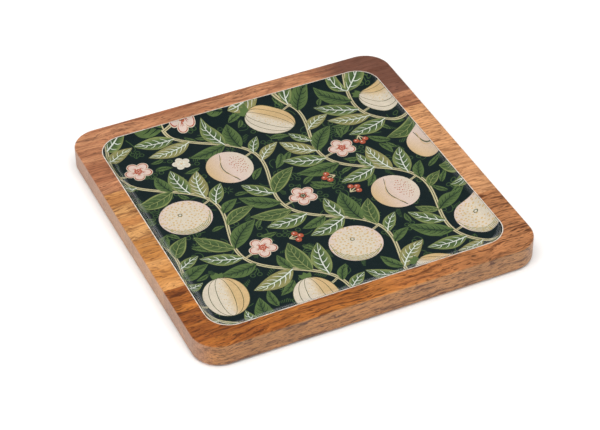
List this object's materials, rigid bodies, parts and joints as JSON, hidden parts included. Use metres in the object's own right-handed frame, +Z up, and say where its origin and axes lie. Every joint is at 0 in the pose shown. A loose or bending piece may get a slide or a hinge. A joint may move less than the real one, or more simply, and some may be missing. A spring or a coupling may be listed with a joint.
{
  "type": "serving tray",
  "caption": "Square wooden serving tray with rounded corners and a shallow coved recess lined with a printed sheet under clear enamel.",
  "frame": {"origin": "middle of the underside, on the surface that the tray stands on", "axes": "+Z up through the recess, X along the grain, -Y towards the front"},
  "size_m": [0.28, 0.28, 0.02],
  "materials": {
    "wood_front": "oiled satin",
    "wood_mid_front": "oiled satin",
    "wood_mid_back": "oiled satin",
    "wood_back": "oiled satin",
    "undercoat": "white lacquer",
    "print": "printed sheet",
    "enamel": "clear gloss"
  },
  "bodies": {
    "root": {"stave_front": "wood_front", "stave_mid_front": "wood_mid_front", "stave_mid_back": "wood_mid_back", "stave_back": "wood_back", "white_undercoat": "undercoat", "printed_sheet": "print", "clear_enamel": "enamel"}
  },
  "joints": []
}
